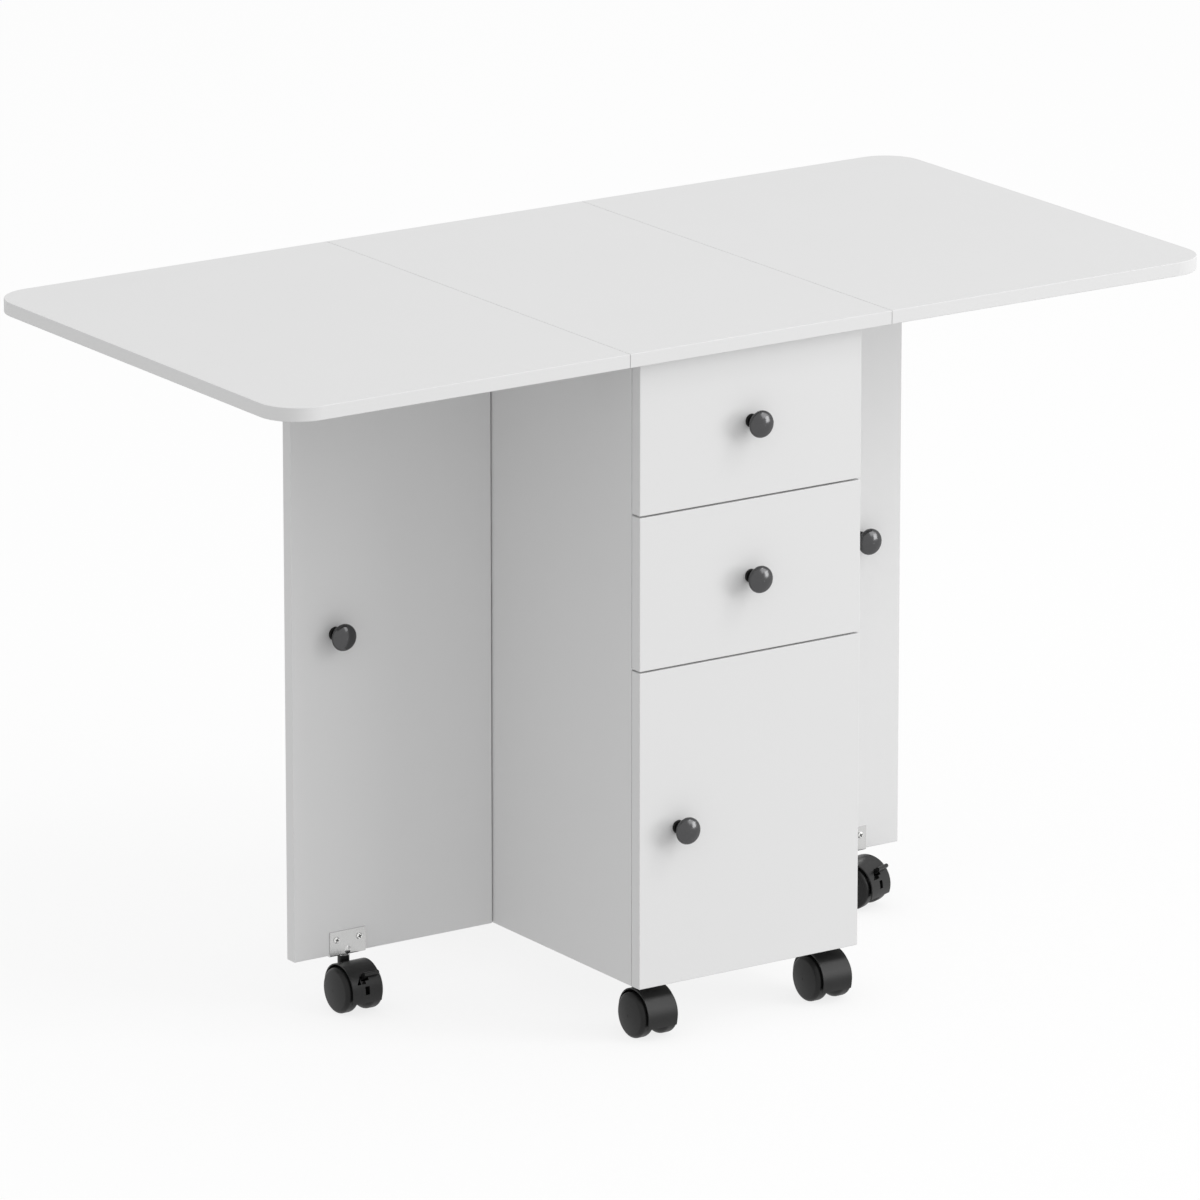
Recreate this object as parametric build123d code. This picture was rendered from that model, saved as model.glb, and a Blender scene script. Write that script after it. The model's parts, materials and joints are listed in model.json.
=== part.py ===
from build123d import *
import math
import os

# A rolling drop-leaf table: a narrow cabinet with two drawers and a door, two hinged
# leaves beside a fixed centre panel, and two gate legs that swing out to carry them.
# +X is the right-hand leaf, -Y the side with the drawers, +Z up. The origin is on the
# floor, under the middle of the top. Every size is in millimetres.

# Boards
board = 15.0                 # thickness of every melamine-faced board
arris = 0.8                  # rounding of a board's edges
back_board = 12.0            # cabinet back
front_gap = 2.0              # gap between neighbouring fronts
overlay_gap = 1.0            # gap between a front's back face and the cabinet

# Top
top_length = 1180.0
top_depth = 590.0
top_height = 763.0
top_corner_radius = 45.0
top_overhang = 19.5          # top beyond the cabinet's front and back
centre_overhang = 24.85      # centre panel beyond each side of the cabinet
seam_gap = 0.6               # gap between the centre panel and a leaf
seam_arris = 0.3             # rounding of the edges along a seam

# Cabinet
cabinet_width = 282.0
door_height = 349.0          # cabinet bottom to the split above the door
rail_width = 60.0
shelf_height = 160.0         # above the cabinet bottom's upper face
shelf_setback = 18.0
shelf_play = 0.5
peg_radius = 2.5
peg_length = 16.0
peg_inset = 60.0             # from the shelf's front and back edges
catch_size = (30.0, 20.0, 12.0)
catch_from_edge = 30.0       # from the cabinet's inner left face
strike_thickness = 1.0
strike_inset = 2.0           # strike inside the catch's outline, at each end
strike_drop = 1.0            # strike under the divider
strike_gap = 0.4             # strike to catch

# Drawers
drawer_back_room = 74.0      # behind a drawer box
drawer_headroom = 21.0       # above a drawer's sides, under the rail
drawer_side_board = 12.0
drawer_side_rise = 22.0      # box above its front's lower edge
drawer_bottom_board = 4.0
drawer_groove_rise = 8.0     # drawer bottom above the sides' lower edge
runner_space = 12.5          # each side, between drawer and cabinet
runner_sheet = 1.2
runner_height = 30.0
runner_setback = 4.0         # cabinet runner behind the cabinet's front edge
runner_front_gap = 1.0       # drawer runner behind the drawer's front
roller_radius = 7.0
roller_width = 6.5
roller_from_end = 12.0
roller_play = 0.3

# Knobs
knob_radius = 14.8
knob_cap_height = 11.5
knob_projection = 25.5
knob_neck_radius = 5.0
knob_base_radius = 7.5
knob_base_height = 3.0
knob_base_round = 1.0
knob_foot_flare = 0.6        # spread of the neck on its base
knob_head_flare = 1.0        # spread of the neck under the cap
knob_neck_drop = 0.5         # that spread's height below the cap's lower edge
knob_lip = 1.0               # cap's lower edge inside its widest part
knob_lip_bulge = 0.8         # how far the edge swells between the two
knob_rim_rise = 4.2          # widest part of the cap above its lower edge
knob_shoulder = 5.0
knob_screw_radius = 2.0
knob_screw_head_radius = 4.0
knob_screw_head_height = 2.4
knob_screw_in_knob = 10.0
door_knob_from_edge = 49.5
door_knob_height = 172.5     # above the door's lower edge

# Gate legs
leg_front_y = 6.4            # front face when swung out
leg_cabinet_gap = 1.5
leg_fold_margin = 0.7        # a folded leg's end inside the cabinet's back face
leg_hinge_gap = 1.0          # leg under the knuckles of the leaf's hinges
leg_knob_from_end = 53.8
leg_knob_height = 357.0      # above the leg's lower edge
glide_radius = 6.0
glide_round = 1.5
glide_play = 0.3             # glide under the leaf
glide_peg_radius = 3.0
glide_peg_length = 10.0
glide_from_end = 20.0

# Cross recess in a screw's head
cross_width = 1.3
cross_reach = 0.66           # half its length, as a share of the head's radius
cross_depth = 1.3

# Hinges
hinge_sheet = 1.5
hinge_knuckles = 5
knuckle_play = 0.3           # along the pin
pin_play = 0.05              # round the pin
plate_notch_play = 0.4
gate_hinge = {"length": 75.0, "plate": 25.0, "knuckle": 3.0, "pin": 1.5}
leaf_hinge = {"length": 60.0, "plate": 20.0, "knuckle": 2.5, "pin": 1.25}
door_hinge = {"length": 50.0, "plate": 12.0, "knuckle": 2.5, "pin": 1.25}
leaf_hinge_from_edge = 105.0 # hinge's middle, from the top's front and back edges
gate_hinge_from_bottom = 90.0
gate_hinge_from_top = 91.0   # from the leg's upper edge
door_hinge_from_end = 60.0

# Casters
wheel_radius = 25.0
wheel_width = 18.7
wheel_web_gap = 0.7          # wheel to the hood's web
wheel_crown = 1.6            # how far the outer face swells
wheel_shoulder_in = 7.5
wheel_shoulder_out = 5.0
axle_radius = 3.0
axle_play = 0.05
axle_cover = 3.0             # wheel's edge beyond the axle's end
axle_end_play = 0.3
hood_thickness = 1.4
hood_wheel_gap = 2.8
hood_edge_inset = 5.6        # hood's side edge inside a wheel's outer face
hood_web_half = 4.5
hood_front_angle = -20.0     # below the axle on the trailing side
hood_back_angle = 188.0
hub_radius = 7.0
caster_trail = 19.5          # axle behind the swivel axis
boss_radius = 6.5
boss_rise = 2.8              # boss above the hood
stem_radius = 4.0
stem_play = 0.05
stem_show = 4.0              # from the boss to the board above
stem_collar_radius = 6.2
stem_collar_play = 0.3       # under a socket's flange or a bracket's foot
stem_shoulder_depth = 2.0    # below the boss's top
stem_core_radius = 2.5
stem_core_rise = 9.0         # above the axle
stem_grip = 11.0             # stem inside its socket or leg
stem_end_room = 1.0          # hole beyond the stem's end
socket_radius = 5.5
socket_flange_radius = 8.0
socket_flange = 1.5
stem_from_side = 28.0        # cabinet stems, from the cabinet's outer sides
stem_from_front = 44.5       # from the face of the fronts
stem_from_back = 28.0
leg_stem_from_end = 66.4

# Caster bracket on a gate leg
bracket_width = 45.0
bracket_height = 26.0
bracket_sheet = 1.5
bracket_bend = 0.9           # outer radius of the bend, as a share of the sheet
bracket_screw_spacing = 28.6
bracket_screw_height = 16.7
bracket_screw_radius = 2.0
bracket_screw_length = 12.0
bracket_head_radius = 3.5
bracket_head_height = 1.6
bracket_head_round = 0.6     # rounding of a head, as a share of its height
bracket_screw_turns = (20.0, 65.0)   # how far each screw's cross is turned
bracket_dimple_radius = 4.2  # pressed dome that stiffens the bend
bracket_dimple_rise = 0.9
bracket_dimple_height = 5.2  # above the foot's lower face

# Brake lever on a leg caster
lever_angle = 40.0           # above the axle on the trailing side
lever_pivot_depth = 8.1      # pivot inside the hood's outer face
lever_pin_radius = 1.0
lever_eye_radius = 2.6
lever_neck_half = 3.0
lever_thickness = 4.6
lever_tip_rise = 6.9         # tip of the wing outside the hood
lever_wing_gap = 1.2         # wing's inner edge outside the hood
lever_wing_x = (-2.5, 15.0)
lever_swing = 18.0
lever_slot_play = 0.5
key_slot = (5.4, 9.2, 8.5)   # small slot below the lever: width, height, depth
key_slot_angle = 8.0
thumb_recess = (-12.0, -6.0, -1.0)   # lower left end, upper left end and right side
thumb_recess_height = 9.5
thumb_recess_angle = 32.0    # its middle, above the axle
thumb_recess_floor = 24.6    # from the axle

# Headings of the casters, turned about their stems, seen from above
caster_headings = {
    "caster_front_left": 0.0,
    "caster_front_right": 0.0,
    "caster_rear_left": 0.0,
    "caster_rear_right": -30.0,
    "caster_leg_left": 0.0,
    "caster_leg_right": 22.0,
}

# Sizes, levels and planes that follow from those above
centre_panel_length = cabinet_width + 2 * centre_overhang
cabinet_depth = top_depth - 2 * top_overhang
hood_radius = wheel_radius + hood_wheel_gap + hood_thickness
boss_top = wheel_radius + hood_radius + boss_rise
floor_clearance = boss_top + stem_show
underside = top_height - board
inner_half = cabinet_width / 2 - board
outer_half = cabinet_width / 2
front_face_y = -cabinet_depth / 2
front_back_y = front_face_y + board
cabinet_front_y = front_back_y + overlay_gap
cabinet_back_y = cabinet_depth / 2
back_inner_y = cabinet_back_y - back_board
floor_board_top = floor_clearance + board
door_top = floor_clearance + door_height - front_gap / 2
drawer_pitch = (underside - floor_clearance - door_height) / 2
drawer_side_height = drawer_pitch - front_gap / 2 - drawer_side_rise - board - drawer_headroom
drawer_box_length = back_inner_y - front_back_y - drawer_back_room
divider_top = floor_clearance + door_height + board / 2
leg_inner_x = outer_half + leg_cabinet_gap
leg_back_y = leg_front_y + board
leg_top_gap = 2 * leaf_hinge["knuckle"] + leg_hinge_gap
leg_top = underside - leg_top_gap
drawer_outer_half = inner_half - runner_space
drawer_inner_half = drawer_outer_half - drawer_side_board
gate_axis = (outer_half + gate_hinge["knuckle"], leg_back_y + gate_hinge["knuckle"])
leg_outer_x = gate_axis[0] + cabinet_back_y - leg_fold_margin - gate_axis[1]
gate_hinge_low = floor_clearance + gate_hinge_from_bottom
gate_hinge_high = leg_top - gate_hinge_from_top
gate_hinge_heights = (gate_hinge_low, (gate_hinge_low + gate_hinge_high) / 2, gate_hinge_high)
leaf_hinge_y = top_depth / 2 - leaf_hinge_from_edge
leaf_axis_x = centre_panel_length / 2 + seam_gap / 2
leaf_axis_z = underside - leaf_hinge["knuckle"]
door_axis = (outer_half + door_hinge["knuckle"], front_back_y + overlay_gap / 2)
wheel_inner_x = hood_web_half + wheel_web_gap
wheel_outer_x = wheel_inner_x + wheel_width
axle_half_length = wheel_outer_x - axle_cover
hood_half_width = wheel_outer_x - hood_edge_inset
stem_shoulder = boss_top - stem_shoulder_depth
stem_collar_top = floor_clearance - max(socket_flange, bracket_sheet) - stem_collar_play
stem_core_bottom = wheel_radius + stem_core_rise
lever_pivot_radius = hood_radius - lever_pivot_depth
lever_reach = hood_radius + lever_tip_rise
lever_wing_start = hood_radius + lever_wing_gap
cabinet_stem_x = outer_half - stem_from_side
front_stem_y = front_face_y + stem_from_front
rear_stem_y = cabinet_back_y - stem_from_back
leg_stem = (leg_outer_x - leg_stem_from_end, leg_front_y + board / 2)
stem_places = {
    "caster_front_left": (-cabinet_stem_x, front_stem_y),
    "caster_front_right": (cabinet_stem_x, front_stem_y),
    "caster_rear_left": (-cabinet_stem_x, rear_stem_y),
    "caster_rear_right": (cabinet_stem_x, rear_stem_y),
    "caster_leg_left": (-leg_stem[0], leg_stem[1]),
    "caster_leg_right": leg_stem,
}

nodes = {}


def block(x, y, z):
    """A box between the given pairs of limits."""
    size = [high - low for low, high in (x, y, z)]
    middle = [(low + high) / 2 for low, high in (x, y, z)]
    return Pos(*middle) * Box(*size)


def panel(x, y, z):
    """A board with its edges lightly rounded."""
    plain = block(x, y, z)
    return fillet(plain.edges(), arris)


def rod(start, direction, radius, length):
    """A round rod from a point along a direction."""
    return Plane(origin=start, z_dir=direction) * Cylinder(
        radius, length, align=(Align.CENTER, Align.CENTER, Align.MIN)
    )


def mirrored(shape):
    """The same piece on the other side of the table."""
    return shape.mirror(Plane.YZ)


def both_sides(shapes):
    """Pieces of the right-hand side, and their mirror images."""
    return list(shapes) + [mirrored(shape) for shape in shapes]


def add(name, *shapes):
    """Keep the solids of a named sub-part."""
    solids = [solid for shape in shapes for solid in shape.solids()]
    nodes.setdefault(name, []).extend(solids)


def hinge_plate(plane, hinge, own, bore):
    """One plate of a butt hinge.

    The plane's origin is the pin's middle, its x the way that the plate runs, its y the way
    to the board that carries it and its z the pin. own lists the plate's knuckles.
    """
    pitch = hinge["length"] / hinge_knuckles
    knuckle = hinge["knuckle"]
    sheet = (knuckle - hinge_sheet, knuckle)
    reach = knuckle + plate_notch_play
    along = (-hinge["length"] / 2, hinge["length"] / 2)
    plate = block((reach, hinge["plate"]), sheet, along)
    for number in own:
        low = along[0] + number * pitch + knuckle_play / 2
        high = low + pitch - knuckle_play
        plate += block((0, reach), sheet, (low, high))
        plate += rod((0, 0, low), (0, 0, 1), knuckle, high - low)
    plate -= rod((0, 0, along[0]), (0, 0, 1), bore, hinge["length"])
    return plane * plate


def butt_hinge(fixed_plane, moving_plane, hinge):
    """A butt hinge: its fixed plate, its moving plate and its pin."""
    outer = range(0, hinge_knuckles, 2)
    inner = range(1, hinge_knuckles, 2)
    fixed = hinge_plate(fixed_plane, hinge, outer, hinge["pin"])
    moving = hinge_plate(moving_plane, hinge, inner, hinge["pin"] + pin_play)
    pin = Cylinder(hinge["pin"], hinge["length"])
    return fixed, moving, fixed_plane * pin


def turned(outline):
    """A solid of revolution; the outline's x is the radius and its y the height."""
    return revolve(Plane.XZ * make_face(outline), Axis.Z)


def domed_end(rim, rim_height, top, shoulder):
    """The outline of a round end: a shoulder arc that runs smoothly into a spherical crown."""
    middle = rim - shoulder
    rise = top - rim_height
    crown = (middle**2 + rise**2 - shoulder**2) / (2 * (rise - shoulder))
    centre = top - crown
    meet = math.degrees(math.atan2(rim_height - centre, middle))
    return CenterArc((middle, rim_height), shoulder, 0, meet) + CenterArc(
        (0, centre), crown, meet, 90 - meet
    )


def cross_recess(head_radius):
    """The cross pressed into a screw's head; z runs into the head from its end."""
    reach = head_radius * cross_reach
    return Box(2 * reach, cross_width, 2 * cross_depth) + Box(cross_width, 2 * reach, 2 * cross_depth)


def knob_with_screw(face, grip):
    """A mushroom knob on a board, and the screw through the board that holds it.

    The plane's origin lies on the board's face and its z points out of it. grip is the
    board's thickness.
    """
    rise = knob_base_height - knob_base_round
    cap_low = knob_projection - knob_cap_height
    rim = cap_low + knob_rim_rise
    neck = knob_neck_radius
    outline = Polyline((0, 0), (knob_base_radius, 0), (knob_base_radius, rise))
    outline += CenterArc((knob_base_radius - knob_base_round, rise), knob_base_round, 0, 90)
    foot = (neck + knob_foot_flare, knob_base_height)
    head = (neck + knob_head_flare, cap_low - knob_neck_drop)
    lip = (knob_radius - knob_lip, cap_low + knob_rim_rise / 2)
    bulge = (lip[0] + knob_lip_bulge, (lip[1] + rim) / 2)
    outline += Line((knob_base_radius - knob_base_round, knob_base_height), foot)
    outline += ThreePointArc(foot, (neck, cap_low / 2), head)
    outline += Line(head, lip)
    outline += ThreePointArc(lip, bulge, (knob_radius, rim))
    outline += domed_end(knob_radius, rim, knob_projection, knob_shoulder)
    outline += Line((0, knob_projection), (0, 0))
    body = turned(outline)
    body -= rod((0, 0, 0), (0, 0, 1), knob_screw_radius, knob_screw_in_knob)
    shank_length = grip + knob_screw_in_knob
    screw = rod((0, 0, -grip), (0, 0, 1), knob_screw_radius, shank_length)
    head_low = -grip - knob_screw_head_height
    screw += rod((0, 0, head_low), (0, 0, 1), knob_screw_head_radius, knob_screw_head_height)
    screw -= Pos(0, 0, head_low) * cross_recess(knob_screw_head_radius)
    return face * body, face * screw


def knob_hole(face, grip):
    """The hole in a board for a knob's screw."""
    return face * rod((0, 0, -grip), (0, 0, 1), knob_screw_radius, grip)


def make_top():
    """The fixed centre panel and the two leaves with rounded outer corners."""
    centre = centre_panel_length / 2
    depth = (-top_depth / 2, top_depth / 2)
    height = (underside, top_height)
    middle = block((-centre, centre), depth, height)
    middle = fillet(middle.edges().filter_by(Axis.X), arris)
    add("top_centre_panel", fillet(middle.faces().filter_by(Axis.X).edges(), seam_arris))
    leaf = block((centre + seam_gap, top_length / 2), depth, height)
    outer = leaf.edges().filter_by(Axis.Z).group_by(Axis.X)[-1]
    leaf = fillet(outer, top_corner_radius)
    seam_face = leaf.faces().sort_by(Axis.X)[0]
    leaf = fillet(leaf.edges() - seam_face.edges(), arris)
    seam_face = leaf.faces().sort_by(Axis.X)[0]
    leaf = fillet(seam_face.edges(), seam_arris)
    add("leaf_right", leaf)
    add("leaf_left", mirrored(leaf))


def socket_places():
    """Where the four cabinet casters stand."""
    return [place for name, place in stem_places.items() if "_leg_" not in name]


def make_cabinet():
    """The carcass: sides, back, bottom, divider and the rails under the top."""
    side = panel(
        (inner_half, outer_half), (cabinet_front_y, cabinet_back_y), (floor_clearance, underside)
    )
    for y in peg_rows():
        side -= rod((inner_half, y, peg_height()), (1, 0, 0), peg_radius, peg_length / 2)
    add("cabinet_side_right", side)
    add("cabinet_side_left", mirrored(side))
    across = (-inner_half, inner_half)
    add("cabinet_back", panel(across, (back_inner_y, cabinet_back_y), (floor_clearance, underside)))
    inside = (cabinet_front_y, back_inner_y)
    bottom = panel(across, inside, (floor_clearance, floor_board_top))
    for x, y in socket_places():
        bottom -= rod((x, y, floor_clearance), (0, 0, 1), socket_radius, stem_grip + stem_end_room)
    add("cabinet_bottom", bottom)
    add("cabinet_divider", panel(across, inside, (divider_top - board, divider_top)))
    rail_height = (underside - board, underside)
    front_rail = panel(across, (cabinet_front_y, cabinet_front_y + rail_width), rail_height)
    rear_rail = panel(across, (back_inner_y - rail_width, back_inner_y), rail_height)
    add("top_rails", front_rail, rear_rail)


def peg_height():
    """Height of the shelf pegs' axes: the shelf lies on them."""
    return floor_board_top + shelf_height - peg_radius


def peg_rows():
    """Depths at which the shelf pegs stand."""
    return (
        cabinet_front_y + shelf_setback + peg_inset,
        back_inner_y - peg_inset,
    )


def make_cupboard_fittings():
    """The shelf on its four pegs, and the magnetic catch under the divider."""
    half = inner_half - shelf_play
    low = floor_board_top + shelf_height
    depth = (cabinet_front_y + shelf_setback, back_inner_y - shelf_play)
    shelf = panel((-half, half), depth, (low, low + board))
    start = inner_half - peg_length / 2
    pegs = [rod((start, y, peg_height()), (1, 0, 0), peg_radius, peg_length) for y in peg_rows()]
    add("cupboard_shelf", shelf, *both_sides(pegs))
    wide, deep, tall = catch_size
    x = -inner_half + catch_from_edge
    catch_y = front_back_y + strike_thickness + strike_gap
    under = divider_top - board
    add("door_catch", block((x, x + wide), (catch_y, catch_y + deep), (under - tall, under)))
    strike = block(
        (x + strike_inset, x + wide - strike_inset),
        (front_back_y, front_back_y + strike_thickness),
        (under - tall, under - strike_drop),
    )
    add("door_hinges_and_strike", strike)


def front_plane(x, z):
    """The plane of a front's face, looking out towards -Y."""
    return Plane(origin=(x, front_face_y, z), x_dir=(1, 0, 0), z_dir=(0, -1, 0))


def make_door():
    """The door, its knob, and its hinges on the right-hand edge."""
    across = (-outer_half, outer_half)
    door = panel(across, (front_face_y, front_back_y), (floor_clearance, door_top))
    x = -outer_half + door_knob_from_edge
    face = front_plane(x, floor_clearance + door_knob_height)
    add("door_panel", door - knob_hole(face, board))
    add("door_knob", *knob_with_screw(face, board))
    low = floor_clearance + door_hinge_from_end
    high = door_top - door_hinge_from_end
    for z in (low, high):
        middle = (door_axis[0], door_axis[1], z)
        fixed_plane = Plane(origin=middle, x_dir=(0, 1, 0), z_dir=(0, 0, 1))
        moving_plane = Plane(origin=middle, x_dir=(0, -1, 0), z_dir=(0, 0, -1))
        fixed, moving, pin = butt_hinge(fixed_plane, moving_plane, door_hinge)
        add("hinge_plates_cabinet", fixed)
        add("door_hinges_and_strike", moving)
        add("hinge_pins", pin)


def runner_pair(low):
    """The right-hand cabinet runner and drawer runner of a drawer whose sides start at low."""
    wall = inner_half
    side = drawer_outer_half
    sheet = runner_sheet
    start = cabinet_front_y + runner_setback
    end = front_back_y + drawer_box_length
    tread_low = low - sheet - roller_play
    tread_high = tread_low + 2 * roller_radius + 2 * roller_play + sheet
    reach = wall - runner_space + 2 * sheet + roller_play
    fixed = block((wall - sheet, wall), (start, end), (tread_low - sheet, tread_low + runner_height))
    fixed += block((reach, wall), (start, end), (tread_low - sheet, tread_low))
    along = (front_back_y + runner_front_gap, end)
    moving = block((side, side + sheet), along, (low - sheet, tread_high + sheet))
    moving += block((side - drawer_side_board, side + sheet), along, (low - sheet, low))
    tread = (side, wall - sheet - roller_play - sheet)
    moving += block(tread, along, (tread_high, tread_high + sheet))
    axis_low = tread_low + roller_radius
    front_y = start + roller_from_end
    rear_y = end - roller_from_end
    disc = (roller_radius, roller_width)
    front_roller = rod((wall - sheet - roller_width, front_y, axis_low + roller_play), (1, 0, 0), *disc)
    rear_roller = rod((side + sheet, rear_y, axis_low), (1, 0, 0), *disc)
    return (fixed, front_roller), (moving, rear_roller)


def make_drawer(name, split):
    """A drawer whose front starts above the split at the given height."""
    low = split + front_gap / 2
    high = split + drawer_pitch - front_gap / 2
    middle = (low + high) / 2
    face = front_plane(0, middle)
    front = panel((-outer_half, outer_half), (front_face_y, front_back_y), (low, high))
    add(f"{name}_front", front - knob_hole(face, board))
    add(f"{name}_knob", *knob_with_screw(face, board))
    side_low = low + drawer_side_rise
    side_high = side_low + drawer_side_height
    rear = front_back_y + drawer_box_length
    side = block(
        (drawer_inner_half, drawer_outer_half), (front_back_y, rear), (side_low, side_high)
    )
    base = side_low + drawer_groove_rise
    groove = drawer_side_board / 2
    half = drawer_inner_half + groove
    bottom = block((-half, half), (front_back_y, rear - groove), (base, base + drawer_bottom_board))
    back = block(
        (-drawer_inner_half, drawer_inner_half), (rear - drawer_side_board, rear), (side_low, side_high)
    )
    add(f"{name}_box", side - bottom, mirrored(side - bottom), back - bottom)
    add(f"{name}_bottom", bottom)
    fixed, moving = runner_pair(side_low)
    add("cabinet_runners", *both_sides(fixed))
    add(f"{name}_runners", *both_sides(moving))


def make_leaf_hinges():
    """Two butt hinges under each seam of the top."""
    for y in (-leaf_hinge_y, leaf_hinge_y):
        middle = (leaf_axis_x, y, leaf_axis_z)
        fixed_plane = Plane(origin=middle, x_dir=(-1, 0, 0), z_dir=(0, 1, 0))
        moving_plane = Plane(origin=middle, x_dir=(1, 0, 0), z_dir=(0, -1, 0))
        fixed, moving, pin = butt_hinge(fixed_plane, moving_plane, leaf_hinge)
        add("hinge_plates_cabinet", *both_sides([fixed]))
        add("hinge_pins", *both_sides([pin]))
        add("leaf_hinge_plates_right", moving)
        add("leaf_hinge_plates_left", mirrored(moving))


def make_gate_hinges():
    """Three butt hinges down each gate leg."""
    for height in gate_hinge_heights:
        middle = (gate_axis[0], gate_axis[1], height)
        fixed_plane = Plane(origin=middle, x_dir=(0, 1, 0), z_dir=(0, 0, 1))
        moving_plane = Plane(origin=middle, x_dir=(1, 0, 0), z_dir=(0, 0, -1))
        fixed, moving, pin = butt_hinge(fixed_plane, moving_plane, gate_hinge)
        add("hinge_plates_cabinet", *both_sides([fixed]))
        add("hinge_pins", *both_sides([pin]))
        add("gate_hinge_plates_right", moving)
        add("gate_hinge_plates_left", mirrored(moving))


def bracket_screw_places():
    """Centres of the bracket's two screws on the leg's face."""
    half = bracket_screw_spacing / 2
    height = floor_clearance + bracket_screw_height
    return [(leg_stem[0] + x, height) for x in (-half, half)]


def bracket_dimple(front, low):
    """The pressed dome low on the bracket's upright, whose face is at the depth front."""
    ball = (bracket_dimple_radius**2 / bracket_dimple_rise + bracket_dimple_rise) / 2
    middle = (leg_stem[0], front - bracket_dimple_rise + ball, low + bracket_dimple_height)
    reach = (leg_stem[0] - ball, leg_stem[0] + ball)
    outside = block(reach, (front - bracket_dimple_rise, front), (low, low + 2 * ball))
    return Pos(*middle) * Sphere(ball) & outside


def make_bracket():
    """The right-hand leg's steel bracket, with its two screws."""
    half = bracket_width / 2
    x = (leg_stem[0] - half, leg_stem[0] + half)
    front = leg_front_y - bracket_sheet
    low = floor_clearance - bracket_sheet
    upright = block(x, (front, leg_front_y), (low, floor_clearance + bracket_height))
    foot = block(x, (front, leg_back_y), (low, floor_clearance))
    bracket = upright + foot
    bend = bracket.edges().filter_by(Axis.X).group_by(Axis.Y)[0].group_by(Axis.Z)[0]
    bracket = fillet(bend, bracket_sheet * bracket_bend)
    bracket -= rod((*leg_stem, low), (0, 0, 1), stem_radius + stem_play, bracket_sheet)
    bracket += bracket_dimple(front, low)
    screws = []
    for (sx, sz), turn in zip(bracket_screw_places(), bracket_screw_turns):
        bracket -= rod((sx, front, sz), (0, 1, 0), bracket_screw_radius, bracket_sheet)
        head_start = (sx, front - bracket_head_height, sz)
        head = rod(head_start, (0, 1, 0), bracket_head_radius, bracket_head_height)
        rim = head.edges().group_by(Axis.Y)[0]
        head = fillet(rim, bracket_head_height * bracket_head_round)
        end = Plane(origin=head_start, x_dir=(1, 0, 0), z_dir=(0, 1, 0))
        head -= end * Rot(0, 0, turn) * cross_recess(bracket_head_radius)
        length = bracket_sheet + bracket_screw_length
        screws.append(head + rod((sx, front, sz), (0, 1, 0), bracket_screw_radius, length))
    return [bracket, *screws]


def make_gate_leg():
    """A gate leg: its board, knob, bracket and the glide that carries the leaf."""
    leg = panel((leg_inner_x, leg_outer_x), (leg_front_y, leg_back_y), (floor_clearance, leg_top))
    x = leg_outer_x - leg_knob_from_end
    face = Plane(
        origin=(x, leg_front_y, floor_clearance + leg_knob_height), x_dir=(1, 0, 0), z_dir=(0, -1, 0)
    )
    leg -= knob_hole(face, board)
    stem_hole = stem_radius + stem_play
    leg -= rod((*leg_stem, floor_clearance), (0, 0, 1), stem_hole, stem_grip + stem_end_room)
    for sx, sz in bracket_screw_places():
        leg -= rod((sx, leg_front_y, sz), (0, 1, 0), bracket_screw_radius, bracket_screw_length)
    glide_x = leg_outer_x - glide_from_end
    glide_y = leg_front_y + board / 2
    socket = leg_top - glide_peg_length
    leg -= rod((glide_x, glide_y, socket), (0, 0, 1), glide_peg_radius, glide_peg_length)
    glide = rod((glide_x, glide_y, leg_top), (0, 0, 1), glide_radius, leg_top_gap - glide_play)
    glide = fillet(glide.edges().group_by(Axis.Z)[-1], glide_round)
    glide += rod((glide_x, glide_y, socket), (0, 0, 1), glide_peg_radius, glide_peg_length)
    pieces = {
        "gate_leg": [leg],
        "leg_knob": list(knob_with_screw(face, board)),
        "leg_bracket": make_bracket(),
        "leg_glide": [glide],
    }
    for name, shapes in pieces.items():
        add(f"{name}_right", *shapes)
        add(f"{name}_left", *[mirrored(shape) for shape in shapes])


def axle_plane():
    """The plane through the axle's middle: x runs forward (-Y), y up and z along -X."""
    return Plane(origin=(0, -caster_trail, wheel_radius), x_dir=(0, -1, 0), z_dir=(-1, 0, 0))


def drum(radius, half_width):
    """A disc on the axle, across the caster's middle."""
    return axle_plane() * Cylinder(radius, 2 * half_width)


def polar(radius, degrees):
    """A point on a circle."""
    turn = math.radians(degrees)
    return radius * math.cos(turn), radius * math.sin(turn)


def make_wheel():
    """A wheel on the -X side: rounded tread, crowned outer face and a blind bore."""
    r = wheel_radius
    inner, outer = wheel_inner_x, wheel_outer_x
    soft_in, soft_out = wheel_shoulder_in, wheel_shoulder_out
    bore = axle_radius + axle_play
    bore_end = axle_half_length + axle_end_play
    outline = Polyline((0, bore_end), (bore, bore_end), (bore, inner), (r - soft_in, inner))
    outline += CenterArc((r - soft_in, inner + soft_in), soft_in, -90, 90)
    outline += Line((r, inner + soft_in), (r, outer - soft_out))
    outline += domed_end(r, outer - soft_out, outer + wheel_crown, soft_out)
    outline += Line((0, outer + wheel_crown), (0, bore_end))
    return Plane(origin=(0, -caster_trail, wheel_radius), z_dir=(-1, 0, 0)) * turned(outline)


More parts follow.
